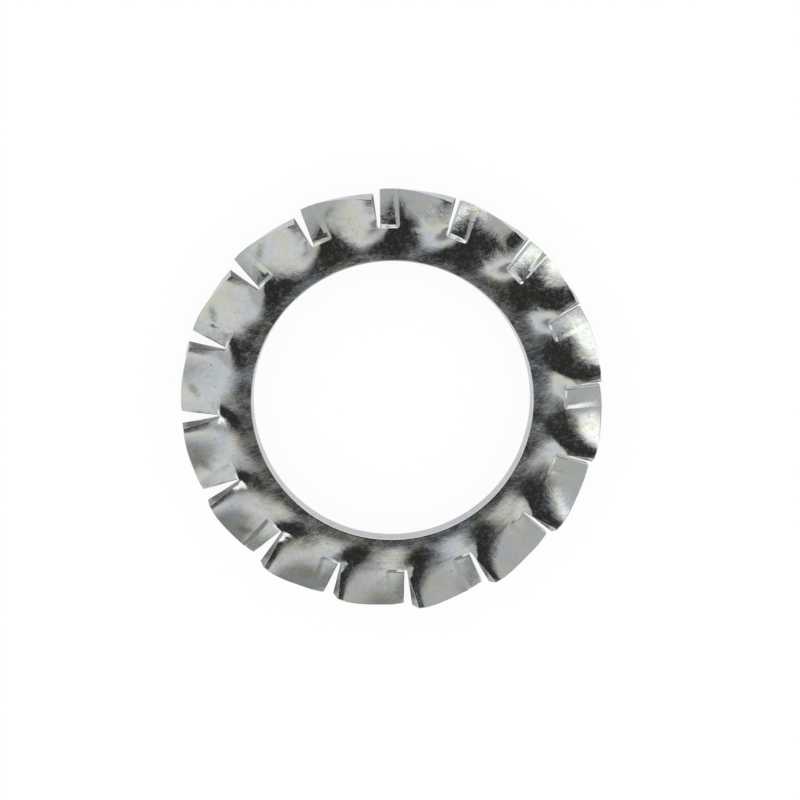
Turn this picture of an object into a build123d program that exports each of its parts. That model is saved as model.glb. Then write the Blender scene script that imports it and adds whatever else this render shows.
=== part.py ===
from build123d import *
import math
import os

# Externally toothed (serrated) spring lock washer, pressed from sheet in one piece.
# Frame: origin on the bore's axis, in the plane that the washer rests on; +Z along the axis.
# All lengths in millimetres, all angles in degrees.

# --- driving dimensions -------------------------------------------------------------------
bore_diameter = 13.2
outer_diameter = 19.95
thickness = 1.0
tooth_count = 16

# rolled upper edge of the bore, an arc that runs out into the flat face
roll_width = 0.33
roll_depth = 0.09

# tapered slit between each two teeth
ring_width = 1.5  # from the bore to the slits' roots
slit_root_width = 0.12
slit_rim_width = 0.36

# set of the teeth: each is twisted about its radial middle line
tooth_rise = 0.62  # raised corner, over the flat ring
tooth_drop = 0.50  # lowered corner, under the flat ring
twist_reach = 8.5  # angle from a tooth's middle line to where its twist levels out
bend_reach = 0.5  # how far inside the slit's root the ring bends up towards a raised corner
bend_direction = 4.0  # angle from the middle line to the innermost bend
raised_end_lean = 13.0  # tilt of the sheared end face at a raised corner
root_foot_height = 0.10  # over the flat ring, where that tilt starts at the slit's root
raised_rim_lean = 0.18  # the rim's upper edge at a raised corner stands in by this much

# lands that the forming die leaves along the slits: on a lowered corner, under a raised one
land_width = 0.90
land_root_step = 0.12  # height of the step at the land's inner end
land_knee_reach = 1.0  # from the slit's root out to where the land's slope changes
lowered_knee_height = -0.28  # from the flat ring's upper face
raised_knee_height = 0.58  # from the flat ring's lower face
land_rim_step = 0.04

# --- sizes worked out from them -----------------------------------------------------------
bore_radius = bore_diameter / 2
rim_radius = outer_diameter / 2
root_radius = bore_radius + ring_width
bend_radius = root_radius - bend_reach
knee_radius = root_radius + land_knee_reach
hub_radius = (bore_radius + roll_width + bend_radius) / 2
tooth_pitch = 360 / tooth_count
half_pitch = tooth_pitch / 2
ring_bottom = tooth_drop
ring_top = ring_bottom + thickness
overrun = 0.5  # cutting bodies pass the sheet by this much
cut_bottom = -overrun
cut_top = ring_top + tooth_rise + overrun
section_count = 9  # radial sections in a tooth

# Control polygons of the bend, from its start to the rim: share of the way out, and share of
# the height. A raised corner lifts early and levels out; a lowered one droops ever faster.
raised_bend = ((0, 0), (0.16, 0), (0.36, 0.74), (0.64, 0.90), (1, 1))
lowered_bend = ((0, 0), (0.25, 0), (0.50, 0.30), (0.78, 0.72), (1, 1))


def ease(value, start, end):
    """Go smoothly from 0 at start to 1 at end."""
    share = min(max((value - start) / (end - start), 0), 1)
    return share * share * (3 - 2 * share)


def lead(turn):
    """How far the twist has gone: 0 at the lowered corner, 1 at the raised one."""
    return ease(turn, -twist_reach, twist_reach)


def bend_start(turn):
    """Radius where the sheet starts to bend: the slit's root, and further in between slits."""
    slit = half_pitch if turn > bend_direction else -half_pitch
    return root_radius - (root_radius - bend_radius) * ease(turn, slit, bend_direction)


def rim_slope(turn):
    """Slope of the sheet along the rim."""
    nudge = 0.5
    climb = (tooth_rise + tooth_drop) * (lead(turn + nudge) - lead(turn - nudge))
    return climb / (rim_radius * math.radians(2 * nudge))


def bend_poles(turn, level, edge_radius, sheet_side):
    """Control points of one face's bend in the radial section at an angle from the middle."""
    start = bend_start(turn)
    slant = sheet_side * thickness * (math.hypot(1, rim_slope(turn)) - 1)
    poles = []
    for (raised_out, raised_up), (lowered_out, lowered_up) in zip(raised_bend, lowered_bend):
        out = lowered_out + (raised_out - lowered_out) * lead(turn)
        height = tooth_rise * lead(turn) * raised_up - tooth_drop * (1 - lead(turn)) * lowered_up
        poles.append((start + (edge_radius - start) * out, level + height + slant * out))
    return poles


def outward(turn, distance=1):
    """Vector that points from the axis at an angle clockwise from the middle line."""
    return Vector(distance, 0, 0).rotate(Axis.Z, -turn)


def radial_plane(turn):
    """Upright plane through the axis; local x points outwards and local y is +Z."""
    return Plane(origin=(0, 0, 0), x_dir=outward(turn), z_dir=outward(turn + 90))


def cross_plane(turn, radius):
    """Upright plane square to a radius; local x points clockwise and local y is +Z."""
    return Plane(origin=outward(turn, radius), x_dir=outward(turn + 90), z_dir=outward(turn + 180))


# --- slit -----------------------------------------------------------------------------------
# It lies half a pitch clockwise of the middle line, beside the raised corner, whose end face
# leans back above a foot line. This line falls outwards to the raised corner's lower edge.
slit_taper = (slit_rim_width - slit_root_width) / (rim_radius - root_radius)
root_foot = ring_top + root_foot_height
rim_foot = ring_bottom + tooth_rise

with BuildPart() as slit:
    for radius, foot in ((root_radius, root_foot), (rim_radius + overrun, rim_foot)):
        half_width = (slit_root_width + slit_taper * (radius - root_radius)) / 2
        lean_back = (cut_top - foot) * math.tan(math.radians(raised_end_lean))
        with BuildSketch(cross_plane(half_pitch, radius)):
            with BuildLine():
                Polyline(
                    (-half_width, cut_bottom),
                    (half_width, cut_bottom),
                    (half_width, cut_top),
                    (-half_width - lean_back, cut_top),
                    (-half_width, foot),
                    close=True,
                )
            make_face()
    loft(ruled=True)

# --- one tooth, its middle line along +X ---------------------------------------------------
with BuildPart() as tooth:
    # twisted sheet
    for index in range(section_count):
        turn = -half_pitch + tooth_pitch * index / (section_count - 1)
        upper_edge = rim_radius - raised_rim_lean * lead(turn)
        upper_poles = bend_poles(turn, ring_top, upper_edge, 0)
        lower_poles = bend_poles(turn, ring_bottom, rim_radius, -1)
        inner_top = (hub_radius - overrun, ring_top)
        inner_bottom = (hub_radius - overrun, ring_bottom)
        with BuildSketch(radial_plane(turn)):
            with BuildLine():
                Line(inner_top, upper_poles[0])
                Bezier(*upper_poles)
                Line(upper_poles[-1], lower_poles[-1])
                Bezier(*lower_poles)
                Line(lower_poles[0], inner_bottom)
                Line(inner_bottom, inner_top)
            make_face()
    loft()
    # inner end, round the hub
    with BuildSketch(Plane.XY.offset(cut_bottom)):
        Circle(hub_radius)
    extrude(amount=cut_top - cut_bottom, mode=Mode.SUBTRACT)
    # slits on both sides
    add(slit.part, mode=Mode.SUBTRACT)
    add(slit.part, rotation=(0, 0, tooth_pitch), mode=Mode.SUBTRACT)
    # land on the lowered corner
    with BuildSketch(radial_plane(-half_pitch)):
        with BuildLine():
            Polyline(
                (root_radius, ring_top - land_root_step),
                (knee_radius, ring_top + lowered_knee_height),
                (rim_radius, ring_top - tooth_drop - land_rim_step),
                (rim_radius + overrun, ring_top - tooth_drop - land_rim_step),
                (rim_radius + overrun, cut_top),
                (root_radius, cut_top),
                close=True,
            )
        make_face()
    extrude(amount=land_width, mode=Mode.SUBTRACT)
    # land under the raised corner
    with BuildSketch(radial_plane(half_pitch)):
        with BuildLine():
            Polyline(
                (root_radius, ring_bottom + land_root_step),
                (knee_radius, ring_bottom + raised_knee_height),
                (rim_radius, ring_bottom + tooth_rise + land_rim_step),
                (rim_radius + overrun, ring_bottom + tooth_rise + land_rim_step),
                (rim_radius + overrun, cut_bottom),
                (root_radius, cut_bottom),
                close=True,
            )
        make_face()
    extrude(amount=-land_width, mode=Mode.SUBTRACT)

# --- the washer ----------------------------------------------------------------------------
with BuildPart() as lock_washer:
    # flat ring with its rolled upper bore edge
    with BuildSketch(Plane.XZ):
        with BuildLine():
            Line((bore_radius, ring_bottom), (hub_radius, ring_bottom))
            Line((hub_radius, ring_bottom), (hub_radius, ring_top))
            Line((hub_radius, ring_top), (bore_radius + roll_width, ring_top))
            TangentArc(
                (bore_radius + roll_width, ring_top),
                (bore_radius, ring_top - roll_depth),
                tangent=(-1, 0),
            )
            Line((bore_radius, ring_top - roll_depth), (bore_radius, ring_bottom))
        make_face()
    revolve(axis=Axis.Z)
    with PolarLocations(0, tooth_count):
        add(tooth.part)

lock_washer.part.label = "lock_washer"
os.makedirs("parts", exist_ok=True)
export_step(lock_washer.part, "parts/lock_washer.step")
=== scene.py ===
import math

import bmesh
import bpy
import numpy as np
from mathutils import Matrix, Vector


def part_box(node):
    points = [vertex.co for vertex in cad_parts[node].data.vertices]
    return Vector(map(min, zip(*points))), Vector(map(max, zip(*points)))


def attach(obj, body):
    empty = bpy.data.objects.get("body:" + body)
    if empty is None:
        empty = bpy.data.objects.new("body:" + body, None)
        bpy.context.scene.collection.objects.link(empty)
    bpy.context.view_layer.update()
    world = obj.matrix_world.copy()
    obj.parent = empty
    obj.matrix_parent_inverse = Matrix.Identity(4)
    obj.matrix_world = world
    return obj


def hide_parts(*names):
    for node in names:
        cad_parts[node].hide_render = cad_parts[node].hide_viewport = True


# Externally toothed lock washer, pressed from zinc-plated sheet. The mesh below stands for the
# CAD node: the same form, with the soft bends, rolled edges and small differences of a pressing.
# The form is worked out in millimetres and degrees; Blender gets metres. Turn is the angle from
# a tooth's middle line, clockwise seen from above: the tooth is raised where it is positive.
# A course is an angle round the whole washer, anticlockwise from the first tooth.

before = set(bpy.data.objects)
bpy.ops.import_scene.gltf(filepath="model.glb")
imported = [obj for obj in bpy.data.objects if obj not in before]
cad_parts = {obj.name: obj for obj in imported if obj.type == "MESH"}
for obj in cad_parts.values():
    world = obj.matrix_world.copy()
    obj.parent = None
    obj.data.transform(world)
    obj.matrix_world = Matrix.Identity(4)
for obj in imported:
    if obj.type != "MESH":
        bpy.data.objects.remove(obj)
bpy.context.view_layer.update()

NODE = "lock_washer"
MM = 0.001
low_corner, high_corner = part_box(NODE)

# --- sizes, as in the CAD ------------------------------------------------------------------
TOOTH_COUNT = 16
PITCH = 360 / TOOTH_COUNT
HALF_PITCH = PITCH / 2
RIM_RADIUS = high_corner.x / MM
BORE_RADIUS = 6.6
ROOT_RADIUS = 8.1
TOOTH_LENGTH = RIM_RADIUS - ROOT_RADIUS
THICKNESS = 1.0
TOOTH_DROP = 0.50
TOOTH_RISE = 0.61
RING_BOTTOM = 0.50
RING_TOP = RING_BOTTOM + THICKNESS
SLIT_ROOT_WIDTH = 0.12
SLIT_RIM_WIDTH = 0.36
END_LEAN = 0.24  # a raised end face leans back by this much at the rim
LAND_WIDTH = 0.92
UNDER_LAND_RADII = (ROOT_RADIUS, ROOT_RADIUS + 1.0, RIM_RADIUS)
UNDER_LAND_HEIGHTS = (0.12, 0.58, 0.66)  # under a raised corner, over the ring's lower face

# --- lands of the die beside the lowered ends --------------------------------------------------
LAND_BEVEL = 0.12
LAND_END_BEVEL = 0.15
LAND_ROOT_DEPTH = 0.155  # under the flat ring's upper face
LAND_RIM_DEPTH = 0.67
LAND_CURVE = 0.4  # share of the land's fall that comes late
LAND_SIDE_SLOPES = (0.0, -0.40)  # its fall away from the slit, at the root and at the rim
LAND_BLEND = 0.02  # rounding where the land runs out into the sheet

# --- bends of the pressed sheet --------------------------------------------------------------
DISH = 0.095  # the ring's bore edge lies this much lower
DISH_REACH = 1.28  # out from the bore
DISH_CURVE = 1.2  # power of its fall
BEND_RADII = (6.7, 8.13)  # where a raised corner's slope sets in, and where it is steepest
BEND_STEPS = 300
SLOPE_LOSS = 0.63  # share of that slope lost again at the rim
DROP_RADIUS = 6.9  # where a lowered corner's fall sets in
ROOT_DROP = 0.10  # its depth at the slit's root
DROP_CURVE = 1.36  # power of its fall from there to the rim
INNER_RADIUS = 7.0  # the values below that change along the radius are given here and further out
TWIST_STARTS = (-7.13, -8.0)  # turn at which the sheet starts to rise, here and at the rim
TWIST_END = 9.7
STRIP_WIDTH = 0.25  # level strip along a raised end, past a crease
CREASE_BLEND = 0.05
FALL_TURNS = (11.2, 4.8)  # the rise is lost from this far before a slit line, here and at the root
RUN_TURNS = (1.7, 4.1)  # to this far past it
RELEASE_RADII = (7.82, 8.56)  # the tooth comes free of that loss between these
RELEASE_RADII_AT_SLIT = (8.1, 8.6)  # and beside the slit between these
RELEASE_TURN = 8.6  # from here on the second pair comes in
LOWERED_RELEASE = 0.2  # beside the lowered end it is free this far past the root
BORE_ROLL = 0.04  # radii of the rounded edges
EDGE_ROLL = 0.025

# --- differences that run once round the washer ------------------------------------------------
LEAN_SWING = 0.09  # a raised end leans by this much more or less, for the slits are not square
LEAN_COURSE = 314.0
OPENING_SWING = 0.15  # a lowered end stands back by up to this much more or less at the rim
OPENING_COURSE = 163.0
RIM_LEAN = 0.17  # the rim's upper edge stands this much further in at a raised corner
RIM_LEAN_SWING = 0.11
RIM_LEAN_COURSE = 259.0  # where it stands in least
RIM_LEAN_START = -7.0  # turn at which it sets in
RIM_SHIFT = 0.03  # the outer edge is cut this far off the bore's centre
RIM_SHIFT_COURSE = 67.5


def round_washer(middle, swing, course):
    """A value for each tooth, which swings once round the washer and is highest at a course."""
    turns = np.arange(TOOTH_COUNT) * PITCH - course
    return middle + swing * np.cos(np.radians(turns))


END_LEANS = round_washer(END_LEAN, LEAN_SWING, LEAN_COURSE)
OPENINGS = round_washer(0, OPENING_SWING, OPENING_COURSE)
RIM_LEANS = round_washer(RIM_LEAN, -RIM_LEAN_SWING, RIM_LEAN_COURSE)

# --- small differences between the teeth, and slight waves of the sheet, drawn once ---------------
SEED = 16
draws = np.random.default_rng(SEED)
RISE_SHARES = draws.uniform(0.93, 1.0, TOOTH_COUNT)
DROP_SHARES = draws.uniform(0.86, 1.0, TOOTH_COUNT)
TURN_SHIFTS = draws.uniform(-0.35, 0.35, TOOTH_COUNT)
LAND_SHIFTS = draws.uniform(-0.06, 0.06, TOOTH_COUNT)
LAND_TILTS = draws.uniform(-0.05, 0.05, TOOTH_COUNT)
WAVE_COUNT = 60
WAVE_STEEPNESS = 0.0005  # height over length
SHORTEST_WAVE = 0.5
LONGEST_WAVE = 2.4
WAVE_LENGTHS = np.exp(draws.uniform(math.log(SHORTEST_WAVE), math.log(LONGEST_WAVE), WAVE_COUNT))
WAVE_COURSES = draws.uniform(0, math.tau, WAVE_COUNT)
WAVE_PHASES = draws.uniform(0, math.tau, WAVE_COUNT)
WAVE_COMPASS = np.stack([np.cos(WAVE_COURSES), np.sin(WAVE_COURSES)], axis=1)
WAVE_DIRECTIONS = math.tau / WAVE_LENGTHS[:, None] * WAVE_COMPASS
CORNER_INSETS = draws.uniform(0, 0.03, TOOTH_COUNT)
SHORT_CORNERS = {4: 0.20, 5: 0.24, 6: 0.20, 11: 0.22}  # raised corners that stand further in
for tooth, inset in SHORT_CORNERS.items():
    CORNER_INSETS[tooth] = inset

# --- painted dark reflection: a dark greenish smudge painted on the upper face, outside the middle of each tooth ---
PAINTED_REFLECTION_TURN = -2.8
PAINTED_REFLECTION_RADIUS = 9.3
PAINTED_REFLECTION_SLANT = 34.0  # from the circle through its middle
PAINTED_REFLECTION_LENGTH = 0.45
PAINTED_REFLECTION_WIDTH = 0.20
PAINTED_REFLECTION_MEAN = 0.25
PAINTED_REFLECTION_SWING = 0.9
PAINTED_REFLECTION_MIDDLE_TOOTH = 6.8  # the painted dark reflection is strongest here and fades out across the washer
PAINTED_REFLECTION_STRENGTHS = np.clip(round_washer(PAINTED_REFLECTION_MEAN, PAINTED_REFLECTION_SWING, PAINTED_REFLECTION_MIDDLE_TOOTH * PITCH), 0, 1)

# --- rows and columns of one tooth's mesh ---------------------------------------------------
BORE_ROWS = (0, 0.003, 0.009, 0.018, 0.031, 0.05)
RING_ROWS = 22
TOOTH_ROWS = 25
BEVEL_ROWS = (0.015, 0.04, 0.08, 0.12, LAND_END_BEVEL)
RIM_ROWS = (0.06, 0.03, 0.012, 0)
EDGE_COLUMNS = (0, 0.012, 0.03, 0.06)
LAND_COLUMNS = 7
MIDDLE_COLUMNS = 20
LAND_COUNT = len(EDGE_COLUMNS) + LAND_COLUMNS - 1
COLUMNS = 2 * LAND_COUNT + MIDDLE_COLUMNS
ROOT_ROW = len(BORE_ROWS) + RING_ROWS - 1
WALL_SHARES = (0, 0.03, 0.25, 0.5, 0.75, 0.97, 1)
PAST_ROOT = 0.004  # rows further out than this from the slit's root lie on the tooth
SAME_RADIUS = 1e-6
FAR = 1.0  # a distance well outside every rolled edge
SLOPE_STEP = 0.5  # degrees each way, to take the sheet's slope
WELD_DISTANCE = 1e-7
SHARP_ANGLE = 35
UPPER, UNDER, CUT, TORN, LAND = range(5)  # kinds of faces


def ease(value, start, end):
    """Go smoothly from 0 at start to 1 at end."""
    share = np.clip((value - start) / (end - start), 0, 1)
    return share * share * (3 - 2 * share)


def between(pair, share):
    """A value between the two of a pair."""
    return pair[0] + (pair[1] - pair[0]) * np.clip(share, 0, 1)


def past_root(radius):
    """Share of a tooth's length that lies inside a radius."""
    return np.clip((radius - ROOT_RADIUS) / TOOTH_LENGTH, 0, 1)


def slit_half_width(radius):
    """Half of the slit's width, rounded at its root."""
    past = np.clip(radius - ROOT_RADIUS, 0, None)
    taper = (SLIT_RIM_WIDTH - SLIT_ROOT_WIDTH) / TOOTH_LENGTH
    rounding = np.sqrt(np.clip(past / SLIT_ROOT_WIDTH, 0, 1))
    return (SLIT_ROOT_WIDTH + taper * past) / 2 * rounding


# --- height of the bent sheet --------------------------------------------------------------
def raised_height(radius, tooth):
    """Height of a raised corner along the radius: a bend, then an arc that levels out."""
    radii = np.linspace(BORE_RADIUS, RIM_RADIUS, BEND_STEPS)
    climb = np.cumsum(ease(radii, *BEND_RADII) * (1 - SLOPE_LOSS * past_root(radii)))
    share = 1 - (1 - RISE_SHARES[tooth]) * ease(radius, ROOT_RADIUS, RIM_RADIUS)
    return TOOTH_RISE * share * np.interp(radius, radii, climb / climb[-1])


def lowered_depth(radius, tooth):
    """Depth of a lowered corner along the radius: slight in the ring, then ever steeper."""
    rest = TOOTH_DROP * DROP_SHARES[tooth] - ROOT_DROP
    return ROOT_DROP * ease(radius, DROP_RADIUS, ROOT_RADIUS) + rest * past_root(radius) ** DROP_CURVE


def risen_share(turn, radius, lean):
    """The tooth's own twist: 0 at the lowered corner, 1 from the crease of the raised end on."""
    off_middle = slit_half_width(radius) + lean * past_root(radius) + STRIP_WIDTH
    crease = HALF_PITCH - np.degrees(np.arcsin(off_middle / np.maximum(radius, ROOT_RADIUS)))
    start = between(TWIST_STARTS, (radius - INNER_RADIUS) / (RIM_RADIUS - INNER_RADIUS))
    blend = np.degrees(CREASE_BLEND / radius)
    before = np.clip((crease - turn) / blend, -1, 1)
    rising = np.minimum(turn, crease - blend * (before + 1) ** 2 / 4)
    return ease(rising, start, TWIST_END) / ease(crease, start, TWIST_END)


def fallen_share(turn, radius):
    """How much of the twist the ring has lost again, in line with a slit."""
    out = (radius - INNER_RADIUS) / (ROOT_RADIUS - INNER_RADIUS)
    past_slit = np.where(turn > 0, turn - HALF_PITCH, turn + HALF_PITCH)
    return ease(past_slit, -between(FALL_TURNS, out), between(RUN_TURNS, out))


def twist(turn, radius, tooth):
    """How far the sheet has turned: 0 at the lowered corner, 1 at the raised one."""
    turn = turn + TURN_SHIFTS[tooth] * (1 - (turn / HALF_PITCH) ** 2)
    risen = risen_share(turn, radius, END_LEANS[tooth])
    fallen = fallen_share(turn, radius)
    slit = ease(turn, RELEASE_TURN, HALF_PITCH)
    first, last = (low + (high - low) * slit for low, high in zip(RELEASE_RADII, RELEASE_RADII_AT_SLIT))
    held = 1 - ease(radius, ROOT_RADIUS, ROOT_RADIUS + LOWERED_RELEASE)
    raised_side = risen * (1 - fallen * (1 - ease(radius, first, last)))
    lowered_side = risen + (1 - risen) * (1 - fallen) * held
    return np.where(turn > 0, raised_side, lowered_side)


def waviness(turn, radius, tooth):
    """Slight hollows and swells left by the press, the same on both sides of a slit line."""
    angle = np.radians(tooth * PITCH - turn)
    place = np.stack([radius * np.cos(angle), radius * np.sin(angle)], axis=-1)
    waves = zip(WAVE_STEEPNESS * WAVE_LENGTHS, WAVE_DIRECTIONS, WAVE_PHASES)
    return sum(height * np.sin(place @ direction + phase) for height, direction, phase in waves)


def sheet_height(turn, radius, tooth):
    """Height of the bent sheet over the flat ring."""
    raised = twist(turn, radius, tooth)
    inside = 1 - (radius - BORE_RADIUS) / DISH_REACH
    dish = DISH * np.clip(inside, 0, 1) ** DISH_CURVE
    bent = raised_height(radius, tooth) * raised - lowered_depth(radius, tooth) * (1 - raised)
    return bent - dish + waviness(turn, radius, tooth)


def land_depth(turn, radius, tooth):
    """How much deeper than the sheet the die's land lies, with bevels at its inner end and side."""
    past = past_root(radius)
    fall = (1 - LAND_CURVE) * past + LAND_CURVE * past**2
    rim_depth = LAND_RIM_DEPTH * DROP_SHARES[tooth] + LAND_TILTS[tooth]
    depth = LAND_ROOT_DEPTH + LAND_SHIFTS[tooth] / 2 + (rim_depth - LAND_ROOT_DEPTH) * fall
    across = radius * np.sin(np.radians(HALF_PITCH + turn))
    depth = depth + between(LAND_SIDE_SLOPES, past) * (across - LAND_WIDTH / 2)
    in_end = np.clip((radius - ROOT_RADIUS) / LAND_END_BEVEL, 0, 1)
    in_side = np.clip((LAND_WIDTH - across) / LAND_BEVEL, 0, 1)
    deeper = depth + sheet_height(turn, radius, tooth)
    return (deeper + np.hypot(deeper, LAND_BLEND)) / 2 * np.minimum(in_end, in_side)


def rolled(distance, radius):
    """Drop of a rounded edge at a distance in from it."""
    short = np.clip(radius - distance, 0, radius)
    return radius - np.sqrt(radius**2 - short**2)


def slit_distance(turn, radius, tooth):
    """Distance to the nearest slit's edge; large inside the slits' roots."""
    reach = np.maximum(radius, ROOT_RADIUS)
    low = reach * np.sin(np.radians(HALF_PITCH + turn)) - OPENINGS[tooth] * past_root(radius)
    high = reach * np.sin(np.radians(HALF_PITCH - turn)) - END_LEANS[tooth] * past_root(radius)
    distance = np.minimum(low, high) - slit_half_width(radius)
    return distance + np.where(radius > ROOT_RADIUS + SAME_RADIUS, 0, FAR)


# --- grids of one tooth ----------------------------------------------------------------------
def column_turns(radius, opening, lean):
    """Turn of each column, at the radius it has in each row."""
    reach = np.maximum(radius, ROOT_RADIUS)
    front = slit_half_width(radius) + opening * past_root(radius)
    back = slit_half_width(radius) + lean * past_root(radius)
    edge = np.array(EDGE_COLUMNS)
    shares = np.linspace(0, 1, LAND_COLUMNS)[1:]
    inner = LAND_WIDTH - LAND_BEVEL
    fixed = np.concatenate([edge, edge[-1] * (1 - shares) + inner * shares])
    moving = np.concatenate([np.ones(len(edge)), 1 - shares])
    from_low = fixed + moving * front[:, :LAND_COUNT]
    from_high = fixed[::-1] + moving[::-1] * back[:, -LAND_COUNT:]
    low = np.degrees(np.arcsin(from_low / reach[:, :LAND_COUNT]))
    high = np.degrees(np.arcsin(from_high / reach[:, -LAND_COUNT:]))
    land = np.degrees(np.arcsin(LAND_WIDTH / reach[:, LAND_COUNT:-LAND_COUNT]))
    across = np.linspace(-1, 1, MIDDLE_COLUMNS)
    return np.hstack([low - HALF_PITCH, across * (HALF_PITCH - land), HALF_PITCH - high])


def middle_turns():
    """Turn of each column half way along a tooth."""
    return column_turns(np.full((1, COLUMNS), (ROOT_RADIUS + RIM_RADIUS) / 2), 0, 0)[0]


def row_radii(edge_radius):
    """Radius of each row: bore edge, ring, tooth, rim."""
    bore = BORE_RADIUS + np.array(BORE_ROWS)
    ring = np.linspace(bore[-1], ROOT_RADIUS, RING_ROWS + 1)[1:]
    bevel = np.array(BEVEL_ROWS) / TOOTH_LENGTH
    rim = 1 - np.array(RIM_ROWS) / TOOTH_LENGTH
    out = np.concatenate([bevel, np.linspace(bevel[-1], rim[0], TOOTH_ROWS)[1:], rim[1:]])
    tooth = ROOT_RADIUS + (edge_radius - ROOT_RADIUS) * out[:, None]
    inside = np.concatenate([bore, ring])[:, None] + 0 * edge_radius
    return np.vstack([inside, tooth])


def rim_line(tooth):
    """Radius of the rim's lower edge, column by column."""
    turn = middle_turns()
    shift = RIM_SHIFT * (1 + np.cos(np.radians(tooth * PITCH - turn - RIM_SHIFT_COURSE)))
    return RIM_RADIUS - shift - CORNER_INSETS[tooth] * ease(turn, -TWIST_END, HALF_PITCH)


def upper_face(tooth):
    """Turn, radius and height of the upper face's grid."""
    lean = RIM_LEANS[tooth] * ease(middle_turns(), RIM_LEAN_START, HALF_PITCH)
    radius = row_radii(rim_line(tooth) - lean)
    turn = column_turns(radius, OPENINGS[tooth], END_LEANS[tooth])
    height = RING_TOP + sheet_height(turn, radius, tooth) - land_depth(turn, radius, tooth)
    height -= rolled(radius - BORE_RADIUS, BORE_ROLL)
    height -= rolled(slit_distance(turn, radius, tooth), EDGE_ROLL)
    height -= rolled(radius[-1] - radius, EDGE_ROLL)
    return turn, radius, np.minimum(height, high_corner.z / MM)


def lower_face(tooth):
    """Turn, radius and height of the lower face's grid, with a land under the raised corner."""
    radius = row_radii(rim_line(tooth))
    turn = column_turns(radius, OPENINGS[tooth], 0)
    after = sheet_height(turn + SLOPE_STEP, radius, tooth)
    before = sheet_height(turn - SLOPE_STEP, radius, tooth)
    slope = (after - before) / (radius * math.radians(2 * SLOPE_STEP))
    slant = THICKNESS * (np.hypot(1, slope) - 1) * ease(radius, ROOT_RADIUS, RIM_RADIUS)
    height = RING_BOTTOM + sheet_height(turn, radius, tooth) - slant
    land = RING_BOTTOM + np.interp(radius, UNDER_LAND_RADII, UNDER_LAND_HEIGHTS)
    on_land = (radius > ROOT_RADIUS + PAST_ROOT) & (np.arange(COLUMNS) >= COLUMNS - LAND_COUNT)
    height = np.where(on_land, np.maximum(height, land), height)
    return turn, radius, np.maximum(height, low_corner.z / MM)


def points(turn, radius, height):
    """Cartesian points of a grid, the tooth's middle line along +X."""
    angle = np.radians(-turn)
    return np.stack([radius * np.cos(angle), radius * np.sin(angle), height], axis=-1)


def wall(upper, lower):
    """Grid of points from one line of the upper face down to the same line of the lower one."""
    shares = np.array(WALL_SHARES)[:, None, None]
    return upper[None] * (1 - shares) + lower[None] * shares


def tooth_grids(tooth):
    """The grids that enclose one tooth and its part of the ring, each with the kind of its faces."""
    upper = points(*upper_face(tooth))
    lower = points(*lower_face(tooth))
    return [
        (UPPER, upper),
        (UNDER, lower[:, ::-1]),
        (CUT, wall(upper[-1], lower[-1])),
        (CUT, wall(upper[0, ::-1], lower[0, ::-1])),
        (TORN, wall(upper[ROOT_ROW:, 0], lower[ROOT_ROW:, 0])),
        (TORN, wall(upper[ROOT_ROW:, -1][::-1], lower[ROOT_ROW:, -1][::-1])),
    ]


def quads(rows, columns, first):
    """Vertex numbers of a grid's faces."""
    numbers = first + np.arange(rows * columns).reshape(rows, columns)
    corners = [numbers[:-1, :-1], numbers[:-1, 1:], numbers[1:, 1:], numbers[1:, :-1]]
    return np.stack(corners, axis=-1).reshape(-1, 4)


def face_kinds(kind, grid):
    """Kind of each face of a grid; the upper face has a die land beside its lowered end."""
    rows, columns = grid.shape[0] - 1, grid.shape[1] - 1
    kinds = np.full((rows, columns), kind)
    if kind == UPPER:
        kinds[ROOT_ROW:, :LAND_COUNT - 1] = LAND
    return kinds.ravel()


def point_painted_reflections(kind, grid, tooth):
    """Strength of the painted dark reflection at each point of a grid; only the upper face has one."""
    turn = -np.degrees(np.arctan2(grid[..., 1], grid[..., 0]))
    across = np.radians(turn - PAINTED_REFLECTION_TURN) * PAINTED_REFLECTION_RADIUS
    out = np.hypot(grid[..., 0], grid[..., 1]) - PAINTED_REFLECTION_RADIUS
    slant = math.radians(PAINTED_REFLECTION_SLANT)
    along = (across * math.cos(slant) + out * math.sin(slant)) / PAINTED_REFLECTION_LENGTH
    aside = (out * math.cos(slant) - across * math.sin(slant)) / PAINTED_REFLECTION_WIDTH
    strength = PAINTED_REFLECTION_STRENGTHS[tooth] * np.exp(-(along**2) - aside**2)
    return ((kind == UPPER) * strength).ravel()


# --- the whole washer ------------------------------------------------------------------------
def turned(grid, angle):
    """Points of a grid, turned anticlockwise about the axis."""
    cosine, sine = math.cos(angle), math.sin(angle)
    return grid.reshape(-1, 3) @ np.array([[cosine, sine, 0], [-sine, cosine, 0], [0, 0, 1]])


def washer_mesh():
    """Mesh of the whole washer, one tooth's grids repeated round the axis."""
    vertices = []
    faces = []
    kinds = []
    painted_reflections = []
    for tooth in range(TOOTH_COUNT):
        for kind, grid in tooth_grids(tooth):
            first = sum(len(part) for part in vertices)
            vertices.append(turned(grid, math.radians(tooth * PITCH)))
            faces.append(quads(*grid.shape[:2], first))
            kinds.append(face_kinds(kind, grid))
            painted_reflections.append(point_painted_reflections(kind, grid, tooth))
    mesh = bpy.data.meshes.new("lock_washer_skin")
    mesh.from_pydata((np.concatenate(vertices) * MM).tolist(), [], np.concatenate(faces).tolist())
    kinds = np.concatenate(kinds)
    for name, kind in (("cut", CUT), ("torn", TORN), ("land", LAND)):
        share = mesh.attributes.new(name, "FLOAT", "FACE")
        share.data.foreach_set("value", (kinds == kind).astype(float))
    # strength of the painted dark reflection at each point
    share = mesh.attributes.new("painted_reflection", "FLOAT", "POINT")
    share.data.foreach_set("value", np.concatenate(painted_reflections))
    return mesh


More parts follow.
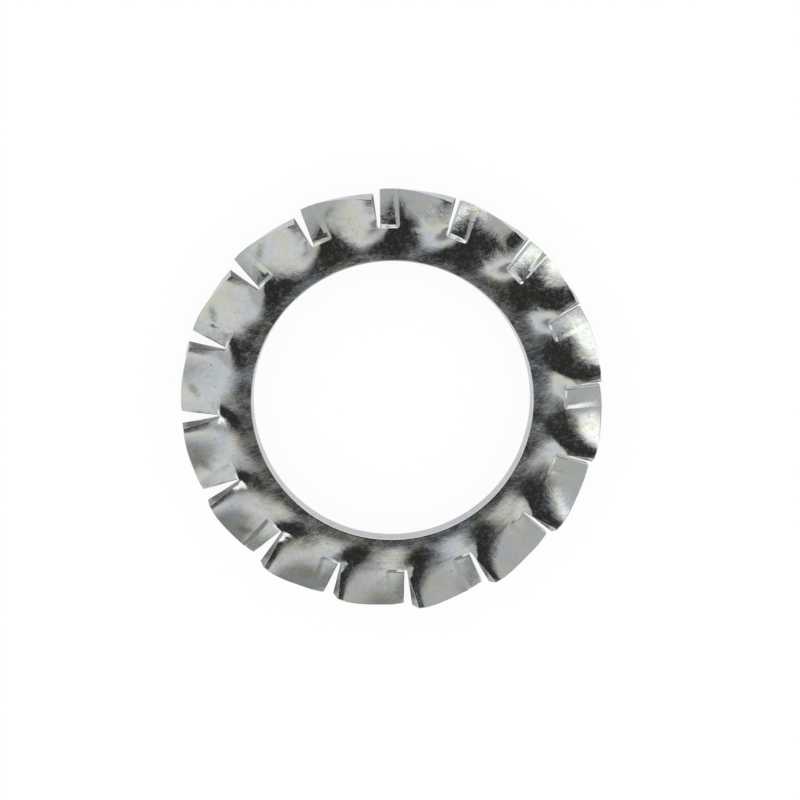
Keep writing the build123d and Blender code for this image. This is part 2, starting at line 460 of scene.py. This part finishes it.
def build_washer():
    """The washer as one object that stands for the CAD node."""
    mesh = washer_mesh()
    work = bmesh.new()
    work.from_mesh(mesh)
    bmesh.ops.remove_doubles(work, verts=work.verts, dist=WELD_DISTANCE)
    bmesh.ops.recalc_face_normals(work, faces=work.faces)
    work.to_mesh(mesh)
    work.free()
    mesh.shade_smooth()
    mesh.set_sharp_from_angle(angle=math.radians(SHARP_ANGLE))
    washer = bpy.data.objects.new("lock_washer_skin", mesh)
    bpy.context.scene.collection.objects.link(washer)
    return washer


# --- shader nodes ----------------------------------------------------------------------------
def new_material(name):
    """A material and its node tree."""
    material = bpy.data.materials.new(name)
    material.use_nodes = True
    return material, material.node_tree


def add(tree, kind, inputs, **settings):
    """Add a shader node: sockets among the inputs are linked, plain values are set."""
    node = tree.nodes.new("ShaderNode" + kind)
    for name, value in settings.items():
        setattr(node, name, value)
    for name, value in inputs.items():
        if isinstance(value, bpy.types.NodeSocket):
            tree.links.new(value, node.inputs[name])
        else:
            node.inputs[name].default_value = value
    return node


def noise(tree, place, scale, detail, roughness):
    inputs = {"Vector": place, "Scale": scale, "Detail": detail, "Roughness": roughness}
    return add(tree, "TexNoise", inputs).outputs["Fac"]


def steps(tree, value, low, high, low_value=0.0, high_value=1.0):
    """Go smoothly from one value to another while the input goes from low to high."""
    inputs = {"Value": value, "From Min": low, "From Max": high, "To Min": low_value, "To Max": high_value}
    return add(tree, "MapRange", inputs, interpolation_type="SMOOTHSTEP").outputs["Result"]


def patches(tree, place, scale, detail, roughness, low, high):
    """Patches of noise: none where it is below low, full where it is above high."""
    return steps(tree, noise(tree, place, scale, detail, roughness), low, high)


def maths(tree, operation, *values):
    return add(tree, "Math", dict(enumerate(values)), operation=operation).outputs[0]


def vector(tree, operation, inputs, output="Vector"):
    return add(tree, "VectorMath", inputs, operation=operation).outputs[output]


def attribute(tree, name):
    return add(tree, "Attribute", {}, attribute_name=name).outputs["Fac"]


def tinted(tree, share, first, second):
    """Mix of a colour or colour socket with a second colour."""
    node = tree.nodes.new("ShaderNodeMix")
    node.data_type = "RGBA"
    tree.links.new(share, node.inputs["Factor"])
    for socket, value in zip((node.inputs[6], node.inputs[7]), (first, second)):
        if isinstance(value, bpy.types.NodeSocket):
            tree.links.new(value, socket)
        else:
            socket.default_value = (*value, 1)
    return node.outputs[2]


# --- zinc plate ------------------------------------------------------------------------------
PLATE_COLOUR = (0.754, 0.785, 0.768)
WARM_COLOUR = (0.765, 0.768, 0.67)
COOL_COLOUR = (0.69, 0.755, 0.815)
RUST_COLOUR = (0.74, 0.66, 0.60)
SPECK_COLOUR = (0.60, 0.57, 0.52)
PIT_COLOUR = (0.30, 0.29, 0.27)
LAND_COLOUR = (0.64, 0.71, 0.68)
# colour of the painted dark reflection on the tooth faces
PAINTED_REFLECTION_COLOUR = (0.36, 0.42, 0.37)
CUT_COLOUR = (0.46, 0.47, 0.50)
TORN_COLOUR = (0.24, 0.24, 0.24)

# Noise has a scale per millimetre, a detail and a roughness; patches have the two levels as well.
GRAIN = {"scale": 4.6, "detail": 3.0, "roughness": 0.6}
SWELL = {"scale": 2.2, "detail": 2.0, "roughness": 0.5}
SCRATCHES = {"scale": 1.0, "detail": 3.0, "roughness": 0.6}
SPECKS = {"scale": 5.0, "detail": 5.0, "roughness": 0.78, "low": 0.40, "high": 0.74}
DULL = {"scale": 0.9, "detail": 3.0, "roughness": 0.55, "low": 0.42, "high": 0.68}
WARM = {"scale": 1.1, "detail": 3.0, "roughness": 0.55, "low": 0.48, "high": 0.62}
COOL = {"scale": 0.45, "detail": 3.0, "roughness": 0.6, "low": 0.50, "high": 0.66}
RUST = {"scale": 1.7, "detail": 4.0, "roughness": 0.6, "low": 0.55, "high": 0.70}
WORN = {"scale": 3.2, "detail": 5.0, "roughness": 0.7, "low": 0.40, "high": 0.66}
PIT_SCALE = 1.8
PIT_RADII = (0.04, 0.11)
# how the grain breaks up the painted dark reflection, and the range of its strength
PAINTED_REFLECTION_GRAIN = {"low": 0.3, "high": 0.6, "low_value": 0.6, "high_value": 1.3}
PAINTED_REFLECTION_RANGE = (0.0, 1.1)
SCRATCH_ARC_SCALE = 9.0  # along the circles
SCRATCH_RADIUS_SCALE = 26.0  # across them
SCRATCH_RADII = (BORE_RADIUS + 0.5, BORE_RADIUS + 1.6)
SCRATCH_SHARES = (1.0, 0.25)

BRIGHT_ROUGHNESS = 0.07
DULL_ROUGHNESS = 0.13
SPECK_ROUGHNESS = 0.20  # added on specks
EDGE_ROUGHNESS = 0.16  # added on the cut and torn faces
LAND_ROUGHNESS = 0.15  # added where a land is worn
GRAIN_HEIGHT = 1.2
LAND_GRAIN_HEIGHT = 0.7  # added on a land
SWELL_HEIGHT = 1.3
PIT_HEIGHT = 0.6
SCRATCH_HEIGHT = 0.14
BUMP_DISTANCE = 5e-6  # for a height of 1


def ring_scratches(tree, place):
    """Fine scratches along circles round the axis, strongest near the bore."""
    flat = vector(tree, "MULTIPLY", {0: place, 1: (1, 1, 0)})
    radius = vector(tree, "LENGTH", {0: flat}, "Value")
    course = vector(tree, "NORMALIZE", {0: flat})
    course = vector(tree, "SCALE", {0: course, "Scale": SCRATCH_ARC_SCALE})
    level = maths(tree, "MULTIPLY", radius, SCRATCH_RADIUS_SCALE)
    level = add(tree, "CombineXYZ", {"Z": level}).outputs[0]
    lines = noise(tree, vector(tree, "ADD", {0: course, 1: level}), **SCRATCHES)
    return maths(tree, "MULTIPLY", lines, steps(tree, radius, *SCRATCH_RADII, *SCRATCH_SHARES))


def plate_patterns(tree):
    """Everything that varies over the surface, by name."""
    place = add(tree, "TexCoord", {}).outputs["Object"]
    place = vector(tree, "SCALE", {0: place, "Scale": 1 / MM})
    grain = noise(tree, place, **GRAIN)
    # painted dark reflection: its strength at each point, broken up by the grain
    painted_reflection = maths(tree, "MULTIPLY", attribute(tree, "painted_reflection"), steps(tree, grain, **PAINTED_REFLECTION_GRAIN))
    pit_cells = add(tree, "TexVoronoi", {"Vector": place, "Scale": PIT_SCALE}).outputs["Distance"]
    return {
        "cut": attribute(tree, "cut"),
        "torn": attribute(tree, "torn"),
        "land": attribute(tree, "land"),
        "painted_reflection": steps(tree, painted_reflection, *PAINTED_REFLECTION_RANGE),
        "grain": grain,
        "swell": noise(tree, place, **SWELL),
        "specks": patches(tree, place, **SPECKS),
        "dull": patches(tree, place, **DULL),
        "warm": patches(tree, place, **WARM),
        "cool": patches(tree, place, **COOL),
        "rust": patches(tree, place, **RUST),
        "worn": patches(tree, place, **WORN),
        "pits": steps(tree, pit_cells, *PIT_RADII, 1.0, 0.0),
        "scratches": ring_scratches(tree, place),
    }


def plate_colour(tree, pattern):
    """The plate's colour, one layer over another; each covers what is below by its share."""
    layers = (
        ("warm", 1.0, WARM_COLOUR),
        ("cool", 1.0, COOL_COLOUR),
        ("rust", 0.5, RUST_COLOUR),
        ("specks", 0.35, SPECK_COLOUR),
        ("pits", 0.6, PIT_COLOUR),
        ("land", 0.35, LAND_COLOUR),
        # the painted dark reflection on the tooth faces
        ("painted_reflection", 0.85, PAINTED_REFLECTION_COLOUR),
        ("cut", 1.0, CUT_COLOUR),
        ("torn", 1.0, TORN_COLOUR),
    )
    colour = PLATE_COLOUR
    for name, share, layer_colour in layers:
        colour = tinted(tree, maths(tree, "MULTIPLY", pattern[name], share), colour, layer_colour)
    return colour


def plate_roughness(tree, pattern):
    rough = steps(tree, pattern["dull"], 0, 1, BRIGHT_ROUGHNESS, DULL_ROUGHNESS)
    land_roughness = maths(tree, "MULTIPLY", pattern["worn"], LAND_ROUGHNESS)
    layers = (
        ("specks", SPECK_ROUGHNESS),
        ("cut", EDGE_ROUGHNESS),
        ("torn", EDGE_ROUGHNESS),
        ("land", land_roughness),
    )
    for name, more in layers:
        rough = maths(tree, "MULTIPLY_ADD", pattern[name], more, rough)
    return rough


def plate_relief(tree, pattern):
    """Height of the fine relief, as a share of BUMP_DISTANCE."""
    grain_height = maths(tree, "MULTIPLY_ADD", pattern["land"], LAND_GRAIN_HEIGHT, GRAIN_HEIGHT)
    height = maths(tree, "MULTIPLY", pattern["grain"], grain_height)
    layers = (("swell", SWELL_HEIGHT), ("pits", -PIT_HEIGHT), ("scratches", SCRATCH_HEIGHT))
    for name, share in layers:
        height = maths(tree, "MULTIPLY_ADD", pattern[name], share, height)
    return height


def plated_steel():
    """Bright zinc plate: fine grain, pits, specks of dull oxide, faint tints, circular scratches."""
    material, tree = new_material("zinc_plate")
    pattern = plate_patterns(tree)
    relief = {"Height": plate_relief(tree, pattern), "Strength": 1.0, "Distance": BUMP_DISTANCE}
    shader = tree.nodes["Principled BSDF"]
    shader.inputs["Metallic"].default_value = 1.0
    tree.links.new(plate_colour(tree, pattern), shader.inputs["Base Color"])
    tree.links.new(plate_roughness(tree, pattern), shader.inputs["Roughness"])
    tree.links.new(add(tree, "Bump", relief).outputs["Normal"], shader.inputs["Normal"])
    return material


# --- camera --------------------------------------------------------------------------------
CAMERA_DISTANCE = 54.12 * MM
CAMERA_TILT = 8.8  # from straight above
WASHER_TURN = 15.61  # of the first tooth from the right of the view, in the photo
CAMERA_AZIMUTH = 101.0 - WASHER_TURN
VIEW_ROLL = 90.0 - WASHER_TURN  # direction on the floor that points up in the view
SENSOR_WIDTH = 36.0
LENS_LENGTH = 51.07
SIDE_SHIFT = 0.0096
NEAREST = 1 * MM


def polar(tilt, azimuth):
    """Unit vector at an angle from straight up and an azimuth."""
    tilt, azimuth = math.radians(tilt), math.radians(azimuth)
    flat = math.sin(tilt)
    return Vector((flat * math.cos(azimuth), flat * math.sin(azimuth), math.cos(tilt)))


AIM = Vector((0, 0, RING_BOTTOM * MM))
CAMERA_PLACE = AIM + polar(CAMERA_TILT, CAMERA_AZIMUTH) * CAMERA_DISTANCE
VIEW_UP = polar(90, VIEW_ROLL)
VIEW_ACROSS = polar(90, VIEW_ROLL - 90)


def make_camera():
    """The camera, at the photo's angle and distance."""
    data = bpy.data.cameras.new("camera")
    data.lens = LENS_LENGTH
    data.sensor_width = SENSOR_WIDTH
    data.shift_x = SIDE_SHIFT
    data.clip_start = NEAREST
    camera = bpy.data.objects.new("camera", data)
    bpy.context.scene.collection.objects.link(camera)
    back = polar(CAMERA_TILT, CAMERA_AZIMUTH)
    side = VIEW_UP.cross(back).normalized()
    matrix = Matrix((side, back.cross(side), back)).transposed().to_4x4()
    matrix.translation = CAMERA_PLACE
    camera.matrix_world = matrix
    bpy.context.scene.camera = camera


# --- studio --------------------------------------------------------------------------------
# Cards over the washer, which only reflections see. Each has its place (across the view, and up
# in it), radius and softness, as shares of its height over the floor, and its grey.
CARD_HEIGHT = 180 * MM
CARD_SPACING = 1.8 * MM
CARDS = {
    "grey_ceiling": ((0, 0), 4.2, 1.2, 0.39),
    "grey_wall": ((-0.474, -1.627), 1.573, 0.30, 0.57),
    "soft_box": ((0.231, 0.99), 0.64, 0.22, 1.03),
    "dark_card": ((0.758, -2.185), 1.411, 0.42, 0.20),
    "camera_body": ((-0.056, 0.229), 0.52, 0.22, 0.022),
}
LENS_PLACE = (-5.5 * MM, 8.0 * MM)  # from over the camera
LENS_RADIUS = 20.5 * MM
LENS_SOFTNESS = 4.0 * MM
LENS_GREY = 0.02
PLATE_GREY = 0.78  # share of a card's light that the plate gives back
FLOOR_SIZE = 2.0
FLOOR_GREY = 0.15
FLOOR_GLOW = 0.86


def plane_object(name, size, place, material):
    """A level square that is part of the studio."""
    half = size / 2
    mesh = bpy.data.meshes.new(name)
    corners = [(-half, -half, 0), (half, -half, 0), (half, half, 0), (-half, half, 0)]
    mesh.from_pydata(corners, [], [(0, 1, 2, 3)])
    mesh.materials.append(material)
    thing = bpy.data.objects.new(name, mesh)
    thing.location = place
    bpy.context.scene.collection.objects.link(thing)
    return thing


def make_world():
    """Plain white light from all round."""
    world = bpy.data.worlds.new("studio")
    world.use_nodes = True
    bpy.context.scene.world = world
    background = world.node_tree.nodes["Background"]
    background.inputs["Color"].default_value = (1, 1, 1, 1)
    background.inputs["Strength"].default_value = 1.0


def floor_material():
    """A little grey that takes the washer's shadow, with a glow that brings it to white."""
    material, tree = new_material("pale_floor")
    tree.nodes.clear()
    grey = add(tree, "BsdfDiffuse", {"Color": (FLOOR_GREY, FLOOR_GREY, FLOOR_GREY, 1)})
    glow = add(tree, "Emission", {"Strength": FLOOR_GLOW})
    both = add(tree, "AddShader", {0: grey.outputs[0], 1: glow.outputs[0]})
    add(tree, "OutputMaterial", {"Surface": both.outputs[0]})
    return material


def card_material(name, grey, radius, softness):
    """A grey disc with a soft edge, see-through outside it."""
    material, tree = new_material(name)
    tree.nodes.clear()
    place = add(tree, "TexCoord", {}).outputs["Object"]
    outside = steps(tree, vector(tree, "LENGTH", {0: place}, "Value"), radius - softness, radius + softness)
    glow = add(tree, "Emission", {"Color": (grey, grey, grey, 1)})
    clear = add(tree, "BsdfTransparent", {})
    mix = add(tree, "MixShader", {0: outside, 1: glow.outputs[0], 2: clear.outputs[0]})
    add(tree, "OutputMaterial", {"Surface": mix.outputs[0]})
    return material


def make_card(name, place, radius, softness, grey):
    material = card_material(name, grey / PLATE_GREY, radius, softness)
    card = plane_object(name, 2 * (radius + softness), place, material)
    card.visible_camera = False
    card.visible_diffuse = False
    card.visible_shadow = False
    card.visible_transmission = False


def make_cards():
    """The studio that the polished washer reflects, and the dark front of the camera."""
    height = CARD_HEIGHT
    for name, (place, radius, softness, grey) in CARDS.items():
        centre = (VIEW_ACROSS * place[0] + VIEW_UP * place[1] + Vector((0, 0, 1))) * height
        make_card(name, centre, radius * height, softness * height, grey)
        height -= CARD_SPACING
    lens_place = CAMERA_PLACE + VIEW_ACROSS * LENS_PLACE[0] + VIEW_UP * LENS_PLACE[1]
    make_card("dark_lens", lens_place, LENS_RADIUS, LENS_SOFTNESS, LENS_GREY)


# --- making ----------------------------------------------------------------------------------
washer = build_washer()
washer.data.materials.append(plated_steel())
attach(washer, "root")
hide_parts(NODE)

make_camera()
make_world()
plane_object("pale_floor", FLOOR_SIZE, (0, 0, 0), floor_material())
make_cards()
bpy.context.scene.view_settings.view_transform = "Standard"
